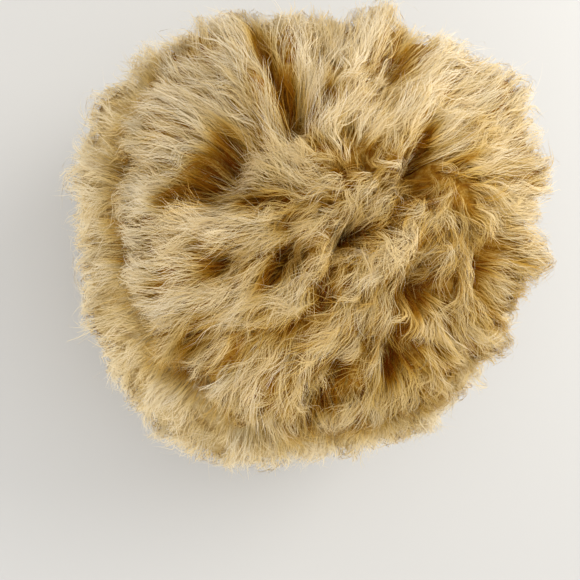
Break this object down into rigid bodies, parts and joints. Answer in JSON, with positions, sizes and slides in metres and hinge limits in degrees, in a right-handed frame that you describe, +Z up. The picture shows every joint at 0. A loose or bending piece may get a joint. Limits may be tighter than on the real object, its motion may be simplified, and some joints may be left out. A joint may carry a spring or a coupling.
{
  "type": "shearling hat",
  "caption": "Round, deep-pile sheepskin hat worn fleece outwards, with a round crown panel over a deep side band and an open hollow for the head.",
  "frame": {"origin": "On the table under the middle of the hat's outline, with the hat resting on its rim.", "axes": "+Z is up through the crown, +X is to the right and +Y to the top of the picture, which looks down on the crown."},
  "size_m": [0.292, 0.2894, 0.2073],
  "materials": {
    "suede": "brushed tan suede, matt",
    "crown_wool": "long wavy honey wool in tangled locks, pale at the tips and golden brown at the roots",
    "band_wool": "softer, paler honey wool that stands out from the band"
  },
  "bodies": {
    "root": {"crown_hide": "suede", "band_hide": "suede", "crown_fleece": "crown_wool", "band_fleece": "band_wool"}
  },
  "joints": []
}
